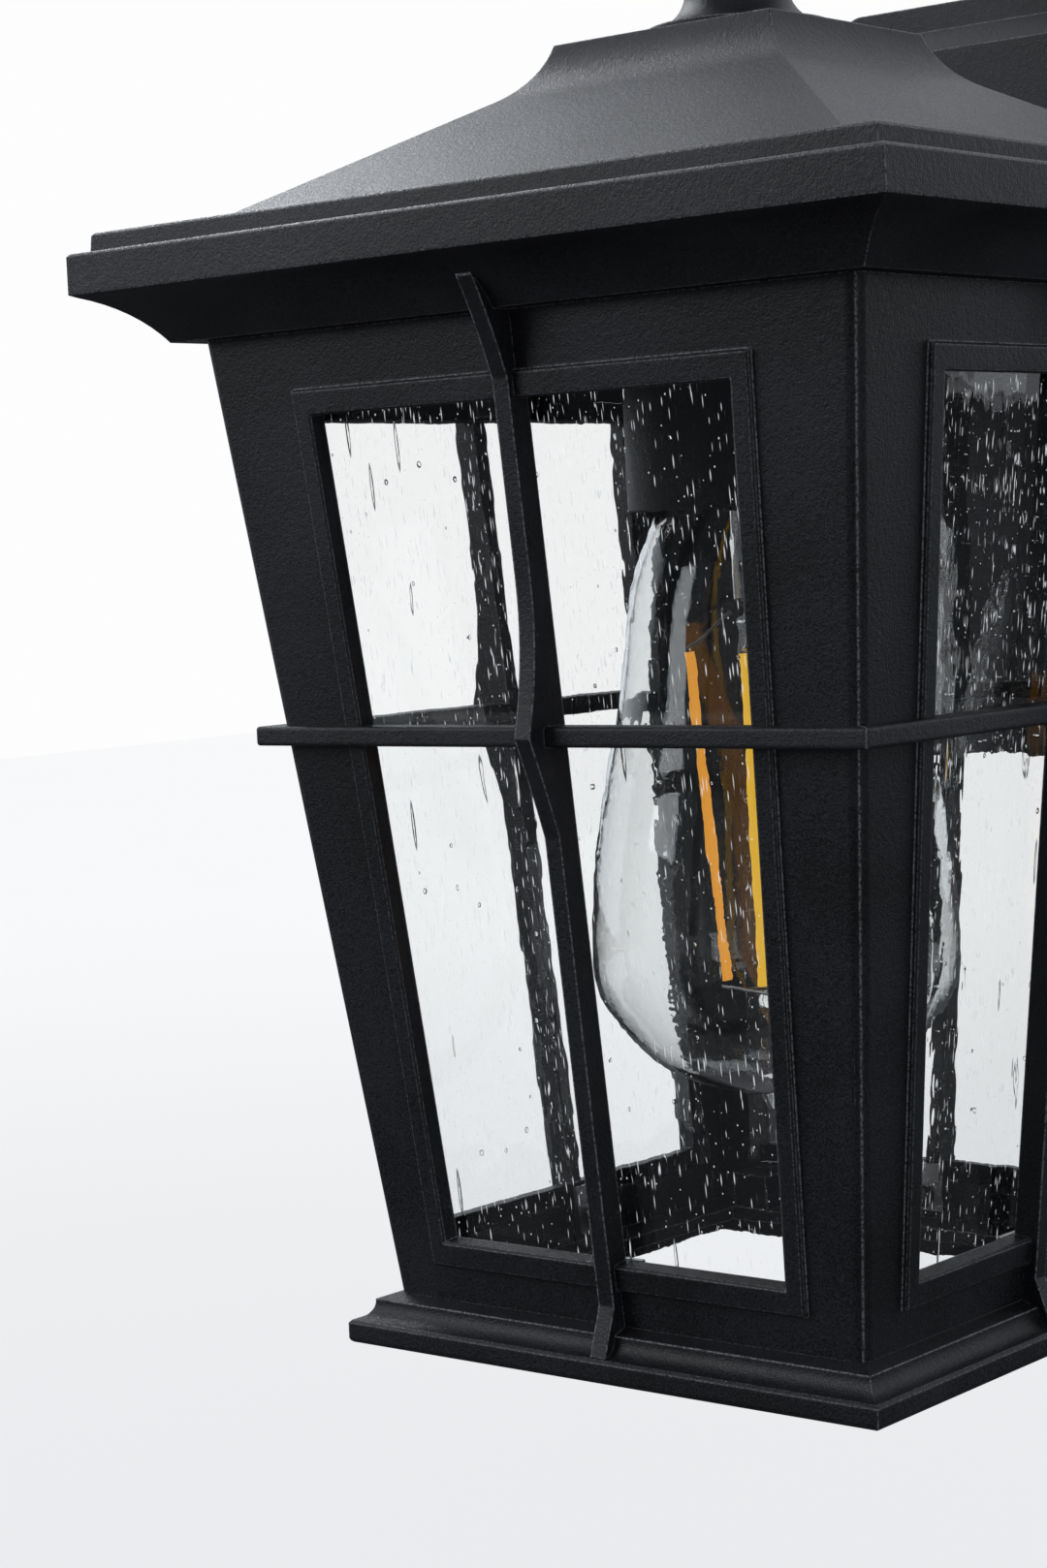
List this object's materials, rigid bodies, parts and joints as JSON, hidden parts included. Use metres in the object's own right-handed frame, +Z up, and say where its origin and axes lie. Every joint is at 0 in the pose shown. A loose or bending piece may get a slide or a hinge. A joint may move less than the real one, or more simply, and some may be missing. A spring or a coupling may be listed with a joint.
{
  "type": "outdoor wall light",
  "caption": "Tapered square outdoor wall lantern with seeded glass panes, mid-height bars, wavy fins and a bare filament bulb, on a stepped wall plate.",
  "frame": {"origin": "middle of the wall plate's back, on the plane of the wall, on the back of the mounting bracket", "axes": "+Z up, +Y into the wall, -Y the front of the light, +X towards the right hand of someone facing the front"},
  "size_m": [0.1694, 0.2227, 0.261],
  "materials": {
    "powder_coat": "fine-textured satin black powder coat",
    "socket_cup_metal": "smooth satin black",
    "seeded_glass": "clear with small bubbles and drawn-out seeds",
    "bulb_clear_glass": "clear and smooth",
    "filament_coating": "matte yellow-orange coating",
    "wire_metal": "drawn wire",
    "cap_metal": "bare rolled shell",
    "contact_metal": "bare",
    "insulator": "black glass insulator",
    "socket_plastic": "moulded, matte black",
    "zinc_plated": "zinc plated",
    "black_screws": "satin black",
    "ground_brass": "green-dyed head",
    "gasket_foam": "closed-cell foam"
  },
  "bodies": {
    "lantern": {"wall_plate": "powder_coat", "rear_arm": "powder_coat", "roof": "powder_coat", "finial": "powder_coat", "eave_ring": "powder_coat", "base_ring": "powder_coat", "front_frame": "powder_coat", "right_frame": "powder_coat", "back_frame": "powder_coat", "left_frame": "powder_coat", "front_bar": "powder_coat", "right_bar": "powder_coat", "back_bar": "powder_coat", "left_bar": "powder_coat", "front_fin": "powder_coat", "right_fin": "powder_coat", "back_fin": "powder_coat", "left_fin": "powder_coat", "socket_cup": "socket_cup_metal", "front_glass": "seeded_glass", "right_glass": "seeded_glass", "back_glass": "seeded_glass", "left_glass": "seeded_glass", "socket_shell": "cap_metal", "socket_spring": "contact_metal", "socket_body": "socket_plastic", "mounting_bracket": "zinc_plated", "plate_studs": "zinc_plated", "nipple": "zinc_plated", "nipple_nuts": "zinc_plated", "glass_clips": "zinc_plated", "arm_screws": "black_screws", "eave_screws": "black_screws", "roof_screws": "black_screws", "base_screws": "black_screws", "clip_screws": "black_screws", "cap_nuts": "black_screws", "ground_screw": "ground_brass", "plate_gasket": "gasket_foam"},
    "bulb_axis": {"bulb_contact": "contact_metal"},
    "bulb": {"bulb_glass": "bulb_clear_glass", "bulb_stem": "bulb_clear_glass", "filaments": "filament_coating", "filament_wires": "wire_metal", "bulb_cap": "cap_metal", "bulb_insulator": "insulator"}
  },
  "joints": [
    {"name": "bulb_travel", "type": "slide", "parent": "lantern", "child": "bulb_axis", "axis": [0, 0, -1], "range_m": [0, 0.024]},
    {"name": "bulb_turn", "type": "hinge", "parent": "bulb_axis", "child": "bulb", "pos_m": [0, -0.138, 0.0089], "axis": [0, 0, -1], "range_deg": [0, 2340]}
  ],
  "couplings": [
    {"joint": "bulb_travel", "follows": "bulb_turn", "m_per_rad": 0.0005776}
  ]
}
